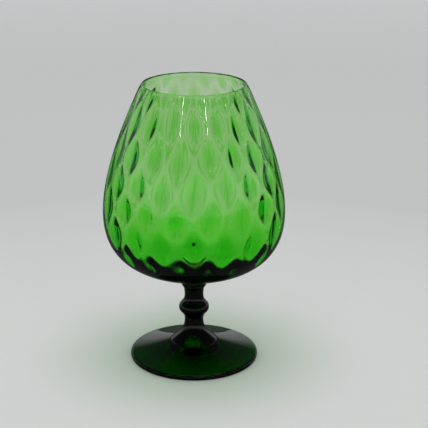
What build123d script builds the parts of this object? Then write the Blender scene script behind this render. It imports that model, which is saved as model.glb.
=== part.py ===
from build123d import *
import os

# Footed balloon vase of blown glass, millimetres.
# Origin: centre of the ring that the foot stands on.  +Z is the axis of revolution, mouth up.
# Four gathers of glass, fused end to end: foot, stem with one knop, merese (collar), bowl.

# Overall
overall_height = 280.0

# Bowl, outside
bowl_bottom_height = 88.0      # top of the merese, where the bowl's floor starts
bowl_seat_radius = 12.0        # flat at the bottom of the bowl, fused to the merese
bowl_radius = 88.9             # at the widest place
bowl_widest_height = 152.1
mouth_radius = 50.5            # outside, at the very top
seat_slope = 0.15              # rise of the floor outside the seat, per unit of radius
mouth_lean = 0.46              # how far the wall leans in at the mouth, per unit of height
shoulder_reach = 0.34          # pull of the bottom curve sideways, share of its width
shoulder_rise = 0.88           # pull of the bottom curve upwards, share of its height
belly_rise = 0.305              # pull of the upper wall above the widest place, share of its height
mouth_drop = 0.335              # pull of the upper wall below the mouth, share of its height

# Bowl, inside
side_wall = 3.4                # at the widest place
rim_wall = 2.6                 # at the mouth, before the edge is rounded
floor_thickness = 12.0         # on the axis
cavity_reach = 0.50
cavity_rise = 0.86
rim_round = 1.1                # fire-polished edge

# Merese, the flared collar under the bowl
collar_radius = 12.2
collar_height = 75.7           # height of its sharp edge
notch_radius = 9.3             # groove between the collar's edge and the bowl
notch_height = 77.9

# Stem
stem_top_height = 71.0
stem_top_radius = 9.8
neck_radius = 9.3
upper_neck_height = 65.5
knop_radius = 15.0
knop_height = 51.9
lower_neck_height = 38.5
stem_base_radius = 23.6
stem_base_edge = 0.6           # thin edge where the stem's base meets the foot

# Foot
foot_radius = 63.8
foot_edge_thickness = 5.0
foot_seat_height = 16.4        # top of the foot, under the stem
standing_ring_radius = 62.4    # outside of the flat ring that it stands on
standing_ring_width = 2.4
foot_hollow_height = 5.5       # how far the underside is hollowed, on the axis
foot_hollow_flat = 16.0        # radius of the flat middle of the hollow
foot_edge_round = 1.6


def at(radius, height):
    """A point of a half outline: radius across, height up."""
    return (radius, 0, height)


def turned(edges, name):
    """The solid of revolution of a closed half outline, in the XZ plane."""
    solid = revolve(make_face(edges), Axis.Z, 360).solid()
    solid.label = name
    return solid


def bowl_wall(start, start_slope, radius, mouth, reach, rise):
    """The bowl's curve from the bottom, round the widest place, up to the mouth."""
    start_radius, start_height = start
    side = reach * (radius - start_radius)
    lower = Bezier(
        at(start_radius, start_height),
        at(start_radius + side, start_height + side * start_slope),
        at(radius, bowl_widest_height - rise * (bowl_widest_height - start_height)),
        at(radius, bowl_widest_height),
    )
    upper_height = overall_height - bowl_widest_height
    drop = mouth_drop * upper_height
    upper = Bezier(
        at(radius, bowl_widest_height),
        at(radius, bowl_widest_height + belly_rise * upper_height),
        at(mouth + drop * mouth_lean, overall_height - drop),
        at(mouth, overall_height),
    )
    return lower, upper


def make_bowl():
    cavity_bottom = bowl_bottom_height + floor_thickness
    outside = bowl_wall(
        (bowl_seat_radius, bowl_bottom_height), seat_slope, bowl_radius, mouth_radius,
        shoulder_reach, shoulder_rise,
    )
    inside = bowl_wall(
        (0, cavity_bottom), 0, bowl_radius - side_wall, mouth_radius - rim_wall,
        cavity_reach, cavity_rise,
    )
    bowl = turned([
        Line(at(0, bowl_bottom_height), at(bowl_seat_radius, bowl_bottom_height)),
        *outside,
        Line(at(mouth_radius, overall_height), at(mouth_radius - rim_wall, overall_height)),
        *inside,
        Line(at(0, cavity_bottom), at(0, bowl_bottom_height)),
    ], "bowl")
    rim_edges = bowl.edges().filter_by(GeomType.CIRCLE).filter_by(
        lambda edge: abs(edge.center().Z - overall_height) < 0.001)
    return bowl.fillet(min(rim_round, 0.45 * rim_wall), rim_edges)


def make_merese():
    groove = collar_radius - notch_radius
    return turned([
        Line(at(0, stem_top_height), at(stem_top_radius, stem_top_height)),
        Bezier(
            at(stem_top_radius, stem_top_height),
            at(stem_top_radius + 0.1 * groove, 0.5 * (stem_top_height + collar_height)),
            at(collar_radius, collar_height),
        ),
        Line(at(collar_radius, collar_height), at(notch_radius, notch_height)),
        Bezier(
            at(notch_radius, notch_height),
            at(notch_radius, 0.5 * (notch_height + bowl_bottom_height)),
            at(bowl_seat_radius, bowl_bottom_height),
        ),
        Line(at(bowl_seat_radius, bowl_bottom_height), at(0, bowl_bottom_height)),
        Line(at(0, bowl_bottom_height), at(0, stem_top_height)),
    ], "merese")


def swell(radius_low, height_low, radius_high, height_high, pull_low, pull_high):
    """A wall that is upright at both ends and swells or narrows between them."""
    span = height_high - height_low
    return Bezier(
        at(radius_low, height_low),
        at(radius_low, height_low + pull_low * span),
        at(radius_high, height_high - pull_high * span),
        at(radius_high, height_high),
    )


def make_stem():
    base_top = foot_seat_height + stem_base_edge
    base_fall = lower_neck_height - base_top
    neck_pull = 0.62
    knop_pull = 0.42
    return turned([
        Line(at(0, foot_seat_height), at(stem_base_radius, foot_seat_height)),
        Line(at(stem_base_radius, foot_seat_height), at(stem_base_radius, base_top)),
        Bezier(
            at(stem_base_radius, base_top),
            at(0.58 * stem_base_radius + 0.42 * neck_radius, base_top + 0.26 * base_fall),
            at(neck_radius, lower_neck_height - 0.51 * base_fall),
            at(neck_radius, lower_neck_height),
        ),
        swell(neck_radius, lower_neck_height, knop_radius, knop_height, neck_pull, knop_pull),
        swell(knop_radius, knop_height, neck_radius, upper_neck_height, knop_pull, neck_pull),
        swell(neck_radius, upper_neck_height, stem_top_radius, stem_top_height, 0.5, 0.3),
        Line(at(stem_top_radius, stem_top_height), at(0, stem_top_height)),
        Line(at(0, stem_top_height), at(0, foot_seat_height)),
    ], "stem")


def make_foot():
    ring_inside = standing_ring_radius - standing_ring_width
    slope_width = foot_radius - stem_base_radius
    slope_rise = foot_seat_height - foot_edge_thickness
    foot = turned([
        Line(at(0, foot_hollow_height), at(foot_hollow_flat, foot_hollow_height)),
        Bezier(
            at(foot_hollow_flat, foot_hollow_height),
            at(foot_hollow_flat + 0.35 * (ring_inside - foot_hollow_flat), foot_hollow_height),
            at(ring_inside, 0),
        ),
        Line(at(ring_inside, 0), at(standing_ring_radius, 0)),
        Line(at(standing_ring_radius, 0), at(foot_radius, 0.45 * foot_edge_thickness)),
        Line(at(foot_radius, 0.45 * foot_edge_thickness), at(foot_radius, foot_edge_thickness)),
        Bezier(
            at(foot_radius, foot_edge_thickness),
            at(foot_radius - 0.5 * slope_width, foot_edge_thickness + 0.44 * slope_rise),
            at(stem_base_radius, foot_seat_height),
        ),
        Line(at(stem_base_radius, foot_seat_height), at(0, foot_seat_height)),
        Line(at(0, foot_seat_height), at(0, foot_hollow_height)),
    ], "foot")
    top_edge = foot.edges().filter_by(GeomType.CIRCLE).filter_by(
        lambda edge: abs(edge.radius - foot_radius) < 0.001)
    return foot.fillet(min(foot_edge_round, 0.4 * foot_edge_thickness), top_edge.sort_by(Axis.Z)[-1:])


parts = {
    "bowl": make_bowl(),
    "merese": make_merese(),
    "stem": make_stem(),
    "foot": make_foot(),
}
os.makedirs("parts", exist_ok=True)
for name, solid in parts.items():
    export_step(solid, f"parts/{name}.step")
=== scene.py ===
"""Looks of a footed balloon vase in green optic glass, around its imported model."""
import bisect
import math

import bmesh
import bpy
from bpy.props import FloatProperty, FloatVectorProperty, IntProperty, PointerProperty
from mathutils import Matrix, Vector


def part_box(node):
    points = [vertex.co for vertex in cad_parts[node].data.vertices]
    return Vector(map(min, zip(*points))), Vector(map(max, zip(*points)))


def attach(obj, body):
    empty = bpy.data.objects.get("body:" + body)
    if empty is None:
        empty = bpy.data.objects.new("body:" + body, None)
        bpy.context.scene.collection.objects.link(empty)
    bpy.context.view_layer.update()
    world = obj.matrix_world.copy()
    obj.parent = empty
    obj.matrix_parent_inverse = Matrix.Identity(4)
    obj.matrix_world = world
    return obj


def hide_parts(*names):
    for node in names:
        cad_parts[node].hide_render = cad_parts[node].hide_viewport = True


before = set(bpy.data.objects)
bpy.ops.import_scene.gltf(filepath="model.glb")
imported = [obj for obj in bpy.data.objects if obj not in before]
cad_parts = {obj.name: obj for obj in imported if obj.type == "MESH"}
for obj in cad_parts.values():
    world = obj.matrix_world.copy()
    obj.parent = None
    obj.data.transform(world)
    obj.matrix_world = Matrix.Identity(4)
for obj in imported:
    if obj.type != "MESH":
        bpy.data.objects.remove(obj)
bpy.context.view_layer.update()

bl_info = {
    "name": "Footed Optic Vase",
    "version": (1, 0, 0),
    "blender": (4, 5, 0),
    "location": "View3D > Sidebar > Optic Vase",
    "description": "Builds a footed balloon vase of green glass with a diamond optic",
    "category": "Add Mesh",
}

MM = 0.001
FUSED = 0.1 * MM          # how far one gather reaches into the next where they are fused
BOWL_LOW, BOWL_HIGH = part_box("bowl")
MERESE_LOW, MERESE_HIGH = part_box("merese")
STEM_LOW, STEM_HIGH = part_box("stem")
FOOT_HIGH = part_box("foot")[1]

# The bowl's curve, in shares of the span that each pull works over
SEAT_SLOPE = 0.15         # rise of the floor outside the seat, per unit of radius
SHOULDER_REACH, SHOULDER_RISE = 0.34, 0.88
CAVITY_REACH, CAVITY_RISE = 0.50, 0.86
BELLY_RISE, MOUTH_DROP = 0.305, 0.335
MOUTH_LEAN = 0.46         # how far the wall leans in at the mouth, per unit of height
RIM_CROWN = 0.42          # height of the rounded rim, in rim walls


# Settings ----------------------------------------------------------------------------------

class BowlSettings(bpy.types.PropertyGroup):
    mouth_radius: FloatProperty(
        name="Mouth radius", description="Outside radius at the mouth",
        default=50.5 * MM, unit="LENGTH")
    widest_height: FloatProperty(
        name="Widest height", description="Height of the bowl's widest place",
        default=152.1 * MM, unit="LENGTH")
    side_wall: FloatProperty(
        name="Side wall", description="Wall thickness at the widest place",
        default=3.4 * MM, unit="LENGTH")
    rim_wall: FloatProperty(
        name="Rim wall", description="Wall thickness at the mouth",
        default=2.6 * MM, unit="LENGTH")
    floor_thickness: FloatProperty(
        name="Floor thickness", description="Glass under the cavity, on the axis",
        default=12.0 * MM, unit="LENGTH")
    seat_radius: FloatProperty(
        name="Seat radius", description="Flat under the bowl, fused to the collar",
        default=12.0 * MM, unit="LENGTH")
    columns: IntProperty(
        name="Columns", description="Diamonds in one row round the bowl", default=18, min=4)
    rows: FloatProperty(
        name="Rows", description="Diamonds along the wall, from the floor's middle to the mouth",
        default=5.5, min=2.0)
    row_start: FloatProperty(
        name="Row start", description="Where the first row starts, in diamonds", default=0.0)
    optic_depth: FloatProperty(
        name="Optic depth", description="Depth of the diamonds in the inside wall",
        default=3.1 * MM, unit="LENGTH")
    colour: FloatVectorProperty(
        name="Glass colour", description="Colour that the bowl's glass lets through",
        default=(0.42, 0.935, 0.14), size=3, subtype="COLOR", min=0.0, max=1.0)
    density: FloatProperty(
        name="Glass density", description="Absorption of the bowl's glass per metre", default=350.0)


class FootGlassSettings(bpy.types.PropertyGroup):
    colour: FloatVectorProperty(
        name="Glass colour", description="Colour that the foot's dark glass lets through",
        default=(0.05, 0.86, 0.32), size=3, subtype="COLOR", min=0.0, max=1.0)
    density: FloatProperty(
        name="Glass density", description="Absorption of the foot's glass per metre", default=700.0)


class StemGlassSettings(bpy.types.PropertyGroup):
    colour: FloatVectorProperty(
        name="Glass colour", description="Colour that the stem's nearly black glass lets through",
        default=(0.05, 0.60, 0.12), size=3, subtype="COLOR", min=0.0, max=1.0)
    density: FloatProperty(
        name="Glass density", description="Absorption of the stem's glass per metre", default=2000.0)


class StageSettings(bpy.types.PropertyGroup):
    camera_distance: FloatProperty(
        name="Camera distance", description="From the vase's axis, level with the floor",
        default=1.1895, unit="LENGTH")
    camera_height: FloatProperty(
        name="Camera height", description="Above the floor", default=0.5534, unit="LENGTH")
    camera_tilt: FloatProperty(
        name="Camera tilt", description="How far the camera looks down",
        default=math.radians(18.76), subtype="ANGLE")
    lens: FloatProperty(name="Lens", description="Focal length in millimetres", default=108.03)
    floor_colour: FloatVectorProperty(
        name="Floor colour", description="Pale floor", default=(1.0, 1.0, 0.99), size=3,
        subtype="COLOR", min=0.0, max=1.0)


# Shaping -----------------------------------------------------------------------------------

def bezier(start, pull_start, pull_end, end, steps):
    """Points of a cubic curve, without its first one."""
    points = []
    for step in range(1, steps + 1):
        t = step / steps
        weights = ((1 - t) ** 3, 3 * t * (1 - t) ** 2, 3 * t * t * (1 - t), t ** 3)
        corners = (start, pull_start, pull_end, end)
        points.append(tuple(sum(w * c[i] for w, c in zip(weights, corners)) for i in (0, 1)))
    return points


def swell(radius_low, height_low, radius_high, height_high, pull_low, pull_high, steps):
    """A wall that is upright at both ends and swells or narrows between them."""
    span = height_high - height_low
    return bezier((radius_low, height_low), (radius_low, height_low + pull_low * span),
                  (radius_high, height_high - pull_high * span), (radius_high, height_high), steps)


def line(start, end, steps):
    """Points of a straight run, without its first one."""
    return [tuple(a + (b - a) * step / steps for a, b in zip(start, end))
            for step in range(1, steps + 1)]


def bowl_wall(start, slope, radius, mouth, reach, rise, settings, steps):
    """The bowl's curve from the bottom, round the widest place, up to the mouth."""
    widest = settings.widest_height
    top = BOWL_HIGH.z
    side = reach * (radius - start[0])
    lower = bezier(start, (start[0] + side, start[1] + side * slope),
                   (radius, widest - rise * (widest - start[1])), (radius, widest), steps)
    drop = MOUTH_DROP * (top - widest)
    upper = bezier((radius, widest), (radius, widest + BELLY_RISE * (top - widest)),
                   (mouth + MOUTH_LEAN * drop, top - drop), (mouth, top), steps)
    return lower + upper


def clear_selection():
    if bpy.context.mode != "OBJECT":
        bpy.ops.object.mode_set(mode="OBJECT")
    bpy.ops.object.select_all(action="DESELECT")


def lathe(name, outline, segments):
    """A closed piece of revolution: a point is drawn along the half outline, then spun."""
    clear_selection()
    bpy.ops.mesh.primitive_plane_add(size=0.001, location=(0, 0, 0))
    piece = bpy.context.object
    piece.name = piece.data.name = name
    bpy.ops.object.mode_set(mode="EDIT")
    bpy.ops.mesh.merge(type="CENTER")
    first = outline[0]
    bpy.ops.transform.translate(value=(first[0], 0, first[1]))
    here = first
    for point in outline[1:]:
        bpy.ops.mesh.extrude_region_move(
            TRANSFORM_OT_translate={"value": (point[0] - here[0], 0, point[1] - here[1])})
        here = point
    bpy.ops.mesh.select_all(action="SELECT")
    bpy.ops.mesh.spin(steps=segments, angle=2 * math.pi, center=(0, 0, 0), axis=(0, 0, 1))
    bpy.ops.mesh.select_all(action="SELECT")
    bpy.ops.mesh.remove_doubles(threshold=0.00001)
    bpy.ops.mesh.normals_make_consistent(inside=False)
    bpy.ops.mesh.select_all(action="DESELECT")
    bpy.ops.object.mode_set(mode="OBJECT")
    bpy.ops.object.shade_smooth()
    return piece


def wall_lengths(inside):
    """Heights of the inside wall's rings, and how far along the wall each one lies."""
    heights, lengths, last = [], [0.0], (0.0, inside[0][1])
    for point in inside:
        heights.append(point[1])
        lengths.append(lengths[-1] + math.dist(last, point))
        last = point
    return heights, lengths[1:]


def wave(angle, height, turns, climb, shift=0.0):
    """A slow wave that wanders round the bowl and up its wall."""
    return math.sin(turns * angle + climb * height + shift)


def diamond(angle, height, share, settings):
    """How far a diamond stands out at a place: about 0.1 in a valley and 1 at its middle."""
    row_stretch = 0.7      # below 1, the rows crowd together low in the bowl
    valley_softness = 0.06
    fullness = 0.7         # below 1, the diamonds are fuller and the valleys narrower
    drift = 0.05 * wave(angle, height, 3, 40) + 0.04 * wave(angle, height, 7, -25)
    around = angle / (2 * math.pi) * settings.columns + drift
    row = settings.rows * share ** row_stretch + settings.row_start + drift
    across = math.sin(math.pi * (around + row))
    back = math.sin(math.pi * (around - row))
    return (across * across * back * back + valley_softness) ** fullness


def press_optic(piece, settings, inside):
    """Swells the diamonds out of the inside wall, with soft valleys between them."""
    heights, lengths = wall_lengths(inside)
    floor_margin, floor_fade, rim_fade = 2.0 * MM, 36.0 * MM, 14.0 * MM
    middle_of_floor = 1.0 * MM
    unmoved = 0.5          # a diamond's height where the wall stays in its place
    fade_start = heights[0] + floor_margin
    top = BOWL_HIGH.z
    shape = bmesh.new()
    shape.from_mesh(piece.data)
    moves = []
    for vert in shape.verts:
        radius = math.hypot(vert.co.x, vert.co.y)
        outward = vert.normal.x * vert.co.x + vert.normal.y * vert.co.y
        facing_in = outward < 0 or vert.normal.z > 0.5
        if not facing_in or radius < middle_of_floor:
            continue
        ring = min(bisect.bisect_left(heights, vert.co.z - 0.01 * MM), len(heights) - 1)
        angle = math.atan2(vert.co.y, vert.co.x)
        height = diamond(angle, vert.co.z, lengths[ring] / lengths[-1], settings) - unmoved
        uneven = 1.0 + 0.2 * wave(angle, vert.co.z, 5, 55, 1.0)
        rise = min(1.0, max(0.0, vert.co.z - fade_start) / floor_fade)
        fade = rise * rise * (3 - 2 * rise) * min(1.0, (top - vert.co.z) / rim_fade)
        moves.append((vert, vert.normal.copy(), settings.optic_depth * uneven * height * fade))
    for vert, normal, distance in moves:
        vert.co += normal * distance
    shape.to_mesh(piece.data)
    shape.free()


# Materials ---------------------------------------------------------------------------------

def glass(name, colour, density, ripple_scale, ripple_depth, specular=0.5):
    """Coloured clear glass with a faint hand-made ripple."""
    clear_glass = 1.5
    material = bpy.data.materials.new(name)
    material.use_nodes = True
    nodes, links = material.node_tree.nodes, material.node_tree.links
    surface = nodes["Principled BSDF"]
    surface.inputs["Base Color"].default_value = (1, 1, 1, 1)
    surface.inputs["Transmission Weight"].default_value = 1.0
    surface.inputs["IOR"].default_value = clear_glass
    surface.inputs["Roughness"].default_value = 0.0
    surface.inputs["Specular IOR Level"].default_value = specular
    body = nodes.new("ShaderNodeVolumeAbsorption")
    body.inputs["Color"].default_value = (*colour, 1)
    body.inputs["Density"].default_value = density
    links.new(body.outputs["Volume"], nodes["Material Output"].inputs["Volume"])
    place = nodes.new("ShaderNodeTexCoord")
    ripple = nodes.new("ShaderNodeTexNoise")
    ripple.inputs["Scale"].default_value = ripple_scale
    ripple.inputs["Detail"].default_value = 2.0
    links.new(place.outputs["Object"], ripple.inputs["Vector"])
    bump = nodes.new("ShaderNodeBump")
    bump.inputs["Strength"].default_value = 1.0
    bump.inputs["Distance"].default_value = ripple_depth
    links.new(ripple.outputs["Fac"], bump.inputs["Height"])
    links.new(bump.outputs["Normal"], surface.inputs["Normal"])
    return material


def finish_piece(piece, node, material):
    piece.data.materials.clear()
    piece.data.materials.append(material)
    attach(piece, "root")
    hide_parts(node)


def mixed(nodes, links, factor, first, second):
    """The colour that goes from one output to a plain colour as the factor goes from 0 to 1."""
    mix = nodes.new("ShaderNodeMix")
    mix.data_type = "RGBA"
    colours = {socket.name: socket for socket in mix.inputs if socket.type == "RGBA"}
    links.new(factor, mix.inputs["Factor"])
    links.new(first, colours["A"])
    colours["B"].default_value = (*second, 1)
    return next(socket for socket in mix.outputs if socket.type == "RGBA")


def stem_glass(settings):
    """The collar and the stem share one glass."""
    made = bpy.data.materials.get("black_green_glass")
    return made or glass("black_green_glass", settings.colour, settings.density, 60.0, 0.05 * MM, 0.06)


# Operators ---------------------------------------------------------------------------------

class VASE_OT_bowl(bpy.types.Operator):
    """Lathe the bowl and press the diamond optic into its inside wall"""
    bl_idname = "vase.bowl"
    bl_label = "Bowl"

    def execute(self, context):
        settings = context.scene.vase_bowl
        bottom, top = BOWL_LOW.z, BOWL_HIGH.z
        radius, mouth = BOWL_HIGH.x, settings.mouth_radius
        seat = (settings.seat_radius, bottom)
        cavity = (0, bottom + settings.floor_thickness)
        outside = bowl_wall(seat, SEAT_SLOPE, radius, mouth, SHOULDER_REACH, SHOULDER_RISE,
                            settings, 28)
        inside = bowl_wall(cavity, 0, radius - settings.side_wall, mouth - settings.rim_wall,
                           CAVITY_REACH, CAVITY_RISE, settings, 110)
        crown = settings.rim_wall * RIM_CROWN
        rim = [(mouth - settings.rim_wall * 0.5 * (1 - math.cos(turn)),
                top - crown * (1 - math.sin(turn)))
               for turn in (math.pi * step / 8 for step in range(9))]
        below_rim = top - crown - 0.3 * MM
        outline = [(0, bottom - FUSED), *line((0, bottom - FUSED), seat, 4)]
        outline += [point for point in outside if point[1] < below_rim]
        outline += rim
        outline += [point for point in reversed(inside) if point[1] < below_rim]
        outline += [cavity]
        bowl = lathe("bowl_of_glass", outline, 300)
        press_optic(bowl, settings, inside)
        material = glass("green_glass", settings.colour, settings.density, 45.0, 0.06 * MM)
        finish_piece(bowl, "bowl", material)
        return {"FINISHED"}


class VASE_OT_merese(bpy.types.Operator):
    """Lathe the collar under the bowl"""
    bl_idname = "vase.merese"
    bl_label = "Collar"

    def execute(self, context):
        low, high = MERESE_LOW.z, MERESE_HIGH.z
        edge, edge_height = MERESE_HIGH.x, 75.7 * MM
        top_radius, notch, notch_height = 9.8 * MM, 9.3 * MM, 77.9 * MM
        seat = context.scene.vase_bowl.seat_radius
        groove = edge - notch
        outline = [(0, low - FUSED), (top_radius, low - FUSED)]
        flare = edge_height - low
        blunt, half_edge = 0.1 * MM, 0.2 * MM
        outline += bezier((top_radius, low), (top_radius + 0.07 * groove, low + 0.33 * flare),
                          (edge - 0.6 * groove, edge_height - 0.33 * flare),
                          (edge - blunt, edge_height - half_edge), 12)
        outline += [(edge, edge_height), (edge - blunt, edge_height + half_edge)]
        outline += line(outline[-1], (notch, notch_height), 6)
        outline += bezier((notch, notch_height), (notch, 0.5 * (notch_height + high)),
                          (0.6 * notch + 0.4 * seat, high - 0.2 * (high - notch_height)),
                          (seat, high), 14)
        outline += [(0, high)]
        collar = lathe("collar_of_glass", outline, 96)
        finish_piece(collar, "merese", stem_glass(context.scene.vase_stem))
        return {"FINISHED"}


class VASE_OT_stem(bpy.types.Operator):
    """Lathe the stem with its knop"""
    bl_idname = "vase.stem"
    bl_label = "Stem"

    def execute(self, context):
        low, high = STEM_LOW.z, STEM_HIGH.z
        base = STEM_HIGH.x
        neck, knop, top_radius = 9.3 * MM, 15.0 * MM, 9.8 * MM
        lower_neck, knop_height, upper_neck = 38.5 * MM, 51.9 * MM, 65.5 * MM
        neck_pull, knop_pull = 0.62, 0.42
        base_top = low + 0.6 * MM
        fall = lower_neck - base_top
        outline = [(0, low), (base, low)]
        outline += line((base, low), (base, base_top), 2)
        outline += bezier((base, base_top), (0.58 * base + 0.42 * neck, base_top + 0.26 * fall),
                          (neck, lower_neck - 0.51 * fall), (neck, lower_neck), 24)
        outline += swell(neck, lower_neck, knop, knop_height, neck_pull, knop_pull, 18)
        outline += swell(knop, knop_height, neck, upper_neck, knop_pull, neck_pull, 18)
        outline += swell(neck, upper_neck, top_radius, high, 0.5, 0.3, 6)
        outline += [(0, high)]
        stem = lathe("stem_of_glass", outline, 128)
        finish_piece(stem, "stem", stem_glass(context.scene.vase_stem))
        return {"FINISHED"}


class VASE_OT_foot(bpy.types.Operator):
    """Lathe the foot, hollowed underneath"""
    bl_idname = "vase.foot"
    bl_label = "Foot"

    def execute(self, context):
        high = FOOT_HIGH.z
        radius = FOOT_HIGH.x
        edge = 5.0 * MM
        ring_outside, ring_inside = 62.4 * MM, 60.0 * MM
        hollow, hollow_flat = 5.5 * MM, 16.0 * MM
        hollow_width = ring_inside - hollow_flat
        shoulder = (radius - 2.2 * MM, edge + 0.35 * MM)
        seat = STEM_HIGH.x
        slope = radius - seat
        rise = high - edge
        outline = [(0, hollow), (hollow_flat, hollow)]
        outline += bezier((hollow_flat, hollow), (hollow_flat + 0.35 * hollow_width, hollow),
                          (ring_inside - 0.33 * hollow_width, 0.35 * hollow), (ring_inside, 0), 24)
        outline += line((ring_inside, 0), (ring_outside, 0), 3)
        outline += bezier((ring_outside, 0), (ring_outside + 0.8 * MM, 0.3 * MM),
                          (radius, 0.25 * edge), (radius, 0.5 * edge), 6)
        outline += bezier((radius, 0.5 * edge), (radius, 0.85 * edge),
                          (radius - 0.6 * MM, edge - 0.1 * MM), shoulder, 8)
        outline += bezier(shoulder, (radius - 0.35 * slope, edge + 0.30 * rise),
                          (radius - 0.67 * slope, edge + 0.62 * rise), (seat, high), 24)
        outline += [(0, high + FUSED)]
        foot = lathe("foot_of_glass", outline, 192)
        settings = context.scene.vase_foot
        material = glass("dark_green_glass", settings.colour, settings.density, 60.0, 0.05 * MM, 0.25)
        finish_piece(foot, "foot", material)
        return {"FINISHED"}


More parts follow.
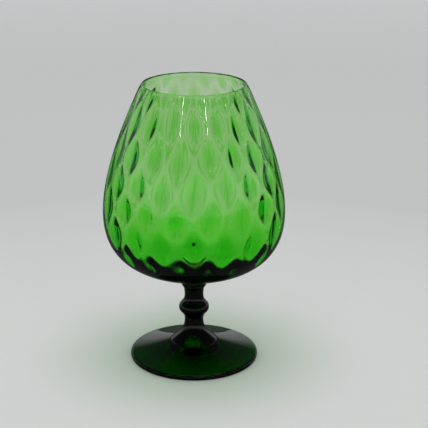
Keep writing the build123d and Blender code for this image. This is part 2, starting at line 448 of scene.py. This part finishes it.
class VASE_OT_stage(bpy.types.Operator):
    """Floor, studio light and camera"""
    bl_idname = "vase.stage"
    bl_label = "Stage"

    def execute(self, context):
        settings = context.scene.vase_stage
        clear_selection()
        bpy.ops.mesh.primitive_circle_add(vertices=96, radius=6.0, fill_type="NGON")
        floor = context.object
        floor.name = "floor"
        floor.data.materials.append(self.floor_material(settings))
        self.add_world(context.scene)
        self.add_lights()
        self.add_camera(context.scene, settings)
        context.scene.view_settings.view_transform = "Standard"
        return {"FINISHED"}

    def floor_material(self, settings):
        """Pale matt paper with painted light in its colour: a painted green shadow at the foot,
        painted shade greying it further out, a painted brightening far away, and painted dark in
        reflections.
        """
        ramp_reach = 4.0       # metres that the ramp of painted light and shade covers
        # painted shade: the floor shows this dark grey to reflections only, to dim the glass's
        # reflections
        painted_reflection_shade = (0.10, 0.11, 0.10)
        material = bpy.data.materials.new("pale_floor")
        material.use_nodes = True
        nodes, links = material.node_tree.nodes, material.node_tree.links
        surface = nodes["Principled BSDF"]
        surface.inputs["Roughness"].default_value = 0.9
        surface.inputs["Specular IOR Level"].default_value = 0.1
        place = nodes.new("ShaderNodeTexCoord")
        reach = nodes.new("ShaderNodeVectorMath")
        reach.operation = "LENGTH"
        links.new(place.outputs["Object"], reach.inputs[0])
        scale = nodes.new("ShaderNodeMath")
        scale.operation = "DIVIDE"
        scale.inputs[1].default_value = ramp_reach
        links.new(reach.outputs["Value"], scale.inputs[0])
        painted_light_ramp = nodes.new("ShaderNodeValToRGB")
        # painted light in the floor's colour: a painted green-tinted shadow at the foot, painted shade
        # greying the floor at middle distance, a painted brightening far out
        stops = ((0.075, (0.72, 0.80, 0.71)), (0.16, (0.82, 0.83, 0.82)), (0.55, (0.70, 0.70, 0.70)),
                 (1.4, (0.80, 0.80, 0.80)), (2.4, (0.95, 0.95, 0.95)))
        while len(painted_light_ramp.color_ramp.elements) < len(stops):
            painted_light_ramp.color_ramp.elements.new(0.5)
        for element, (distance, pale) in zip(painted_light_ramp.color_ramp.elements, stops):
            element.position = distance / ramp_reach
            element.color = (*(p * c for p, c in zip(pale, settings.floor_colour)), 1)
        links.new(scale.outputs["Value"], painted_light_ramp.inputs["Fac"])
        # mask for the painted shade that reflections see on the floor
        path = nodes.new("ShaderNodeLightPath")
        reflection_shade_mask = nodes.new("ShaderNodeMath")
        reflection_shade_mask.operation = "SUBTRACT"
        reflection_shade_mask.use_clamp = True
        links.new(path.outputs["Is Glossy Ray"], reflection_shade_mask.inputs[0])
        links.new(path.outputs["Is Transmission Ray"], reflection_shade_mask.inputs[1])
        colour = mixed(nodes, links, reflection_shade_mask.outputs["Value"], painted_light_ramp.outputs["Color"], painted_reflection_shade)
        links.new(colour, surface.inputs["Base Color"])
        return material

    def add_world(self, scene):
        """Pale all round for the eye and the floor; reflections see a low pale sheet, dark above."""
        pale_sheet, dark_room = (0.50, 0.51, 0.52), (0.045, 0.05, 0.05)
        studio_grey = (0.60, 0.605, 0.615)
        world = bpy.data.worlds.new("studio")
        scene.world = world
        world.use_nodes = True
        nodes, links = world.node_tree.nodes, world.node_tree.links
        background = nodes["Background"]
        path = nodes.new("ShaderNodeLightPath")
        plain = nodes.new("ShaderNodeMath")
        plain.operation = "MAXIMUM"
        links.new(path.outputs["Is Camera Ray"], plain.inputs[0])
        links.new(path.outputs["Is Diffuse Ray"], plain.inputs[1])
        place = nodes.new("ShaderNodeTexCoord")
        split = nodes.new("ShaderNodeSeparateXYZ")
        links.new(place.outputs["Generated"], split.inputs["Vector"])
        sheet = nodes.new("ShaderNodeValToRGB")
        low, high = sheet.color_ramp.elements
        low.position, low.color = 0.20, (*pale_sheet, 1)
        high.position, high.color = 0.36, (*dark_room, 1)
        links.new(split.outputs["Z"], sheet.inputs["Fac"])
        colour = mixed(nodes, links, plain.outputs["Value"], sheet.outputs["Color"], studio_grey)
        links.new(colour, background.inputs["Color"])

    def add_lights(self):
        """A broad soft box overhead and two narrow strips in front, either side of the camera."""
        clear_selection()
        bpy.ops.object.light_add(type="AREA", location=(0, 0.1, 1.4))
        soft = bpy.context.object
        soft.name = "soft_box"
        soft.data.size = 1.2
        soft.data.energy = 4.5
        strip_aside, strip_forward, strip_height = 0.36, 0.84, 0.90
        strip_tilt, strip_turn = math.radians(53), math.radians(22)
        for name, side in (("strip_left", -1), ("strip_right", 1)):
            bpy.ops.object.light_add(
                type="AREA", location=(side * strip_aside, -strip_forward, strip_height))
            strip = bpy.context.object
            strip.name = name
            strip.data.shape = "RECTANGLE"
            strip.data.size = 0.012
            strip.data.size_y = 0.36
            strip.data.energy = 0.5
            strip.rotation_euler = (strip_tilt, 0, side * strip_turn)

    def add_camera(self, scene, settings):
        bpy.ops.object.camera_add(
            location=(0, -settings.camera_distance, settings.camera_height),
            rotation=(math.pi / 2 - settings.camera_tilt, 0, 0))
        camera = bpy.context.object
        camera.name = "studio_camera"
        camera.data.lens = settings.lens
        camera.data.sensor_width = 36.0
        camera.data.shift_x = 20.0 / 428.0
        camera.data.clip_start = 0.01
        scene.camera = camera


class VASE_PT_panel(bpy.types.Panel):
    bl_label = "Optic Vase"
    bl_idname = "VASE_PT_panel"
    bl_space_type = "VIEW_3D"
    bl_region_type = "UI"
    bl_category = "Optic Vase"

    def draw(self, context):
        layout = self.layout
        for group in SETTINGS:
            settings = getattr(context.scene, group)
            column = layout.column(align=True)
            for name in settings.__annotations__:
                column.prop(settings, name)
        for operator in OPERATORS:
            layout.operator(operator.bl_idname)


SETTINGS = {"vase_bowl": BowlSettings, "vase_foot": FootGlassSettings,
            "vase_stem": StemGlassSettings, "vase_stage": StageSettings}
OPERATORS = (VASE_OT_stage, VASE_OT_bowl, VASE_OT_merese, VASE_OT_stem, VASE_OT_foot)
CLASSES = (*SETTINGS.values(), *OPERATORS, VASE_PT_panel)


def register():
    for cls in CLASSES:
        bpy.utils.register_class(cls)
    for name, cls in SETTINGS.items():
        setattr(bpy.types.Scene, name, PointerProperty(type=cls))


def unregister():
    for name in SETTINGS:
        delattr(bpy.types.Scene, name)
    for cls in reversed(CLASSES):
        bpy.utils.unregister_class(cls)


def main():
    register()
    bpy.ops.vase.stage()
    bpy.ops.vase.bowl()
    bpy.ops.vase.merese()
    bpy.ops.vase.stem()
    bpy.ops.vase.foot()


if __name__ == "__main__":
    main()
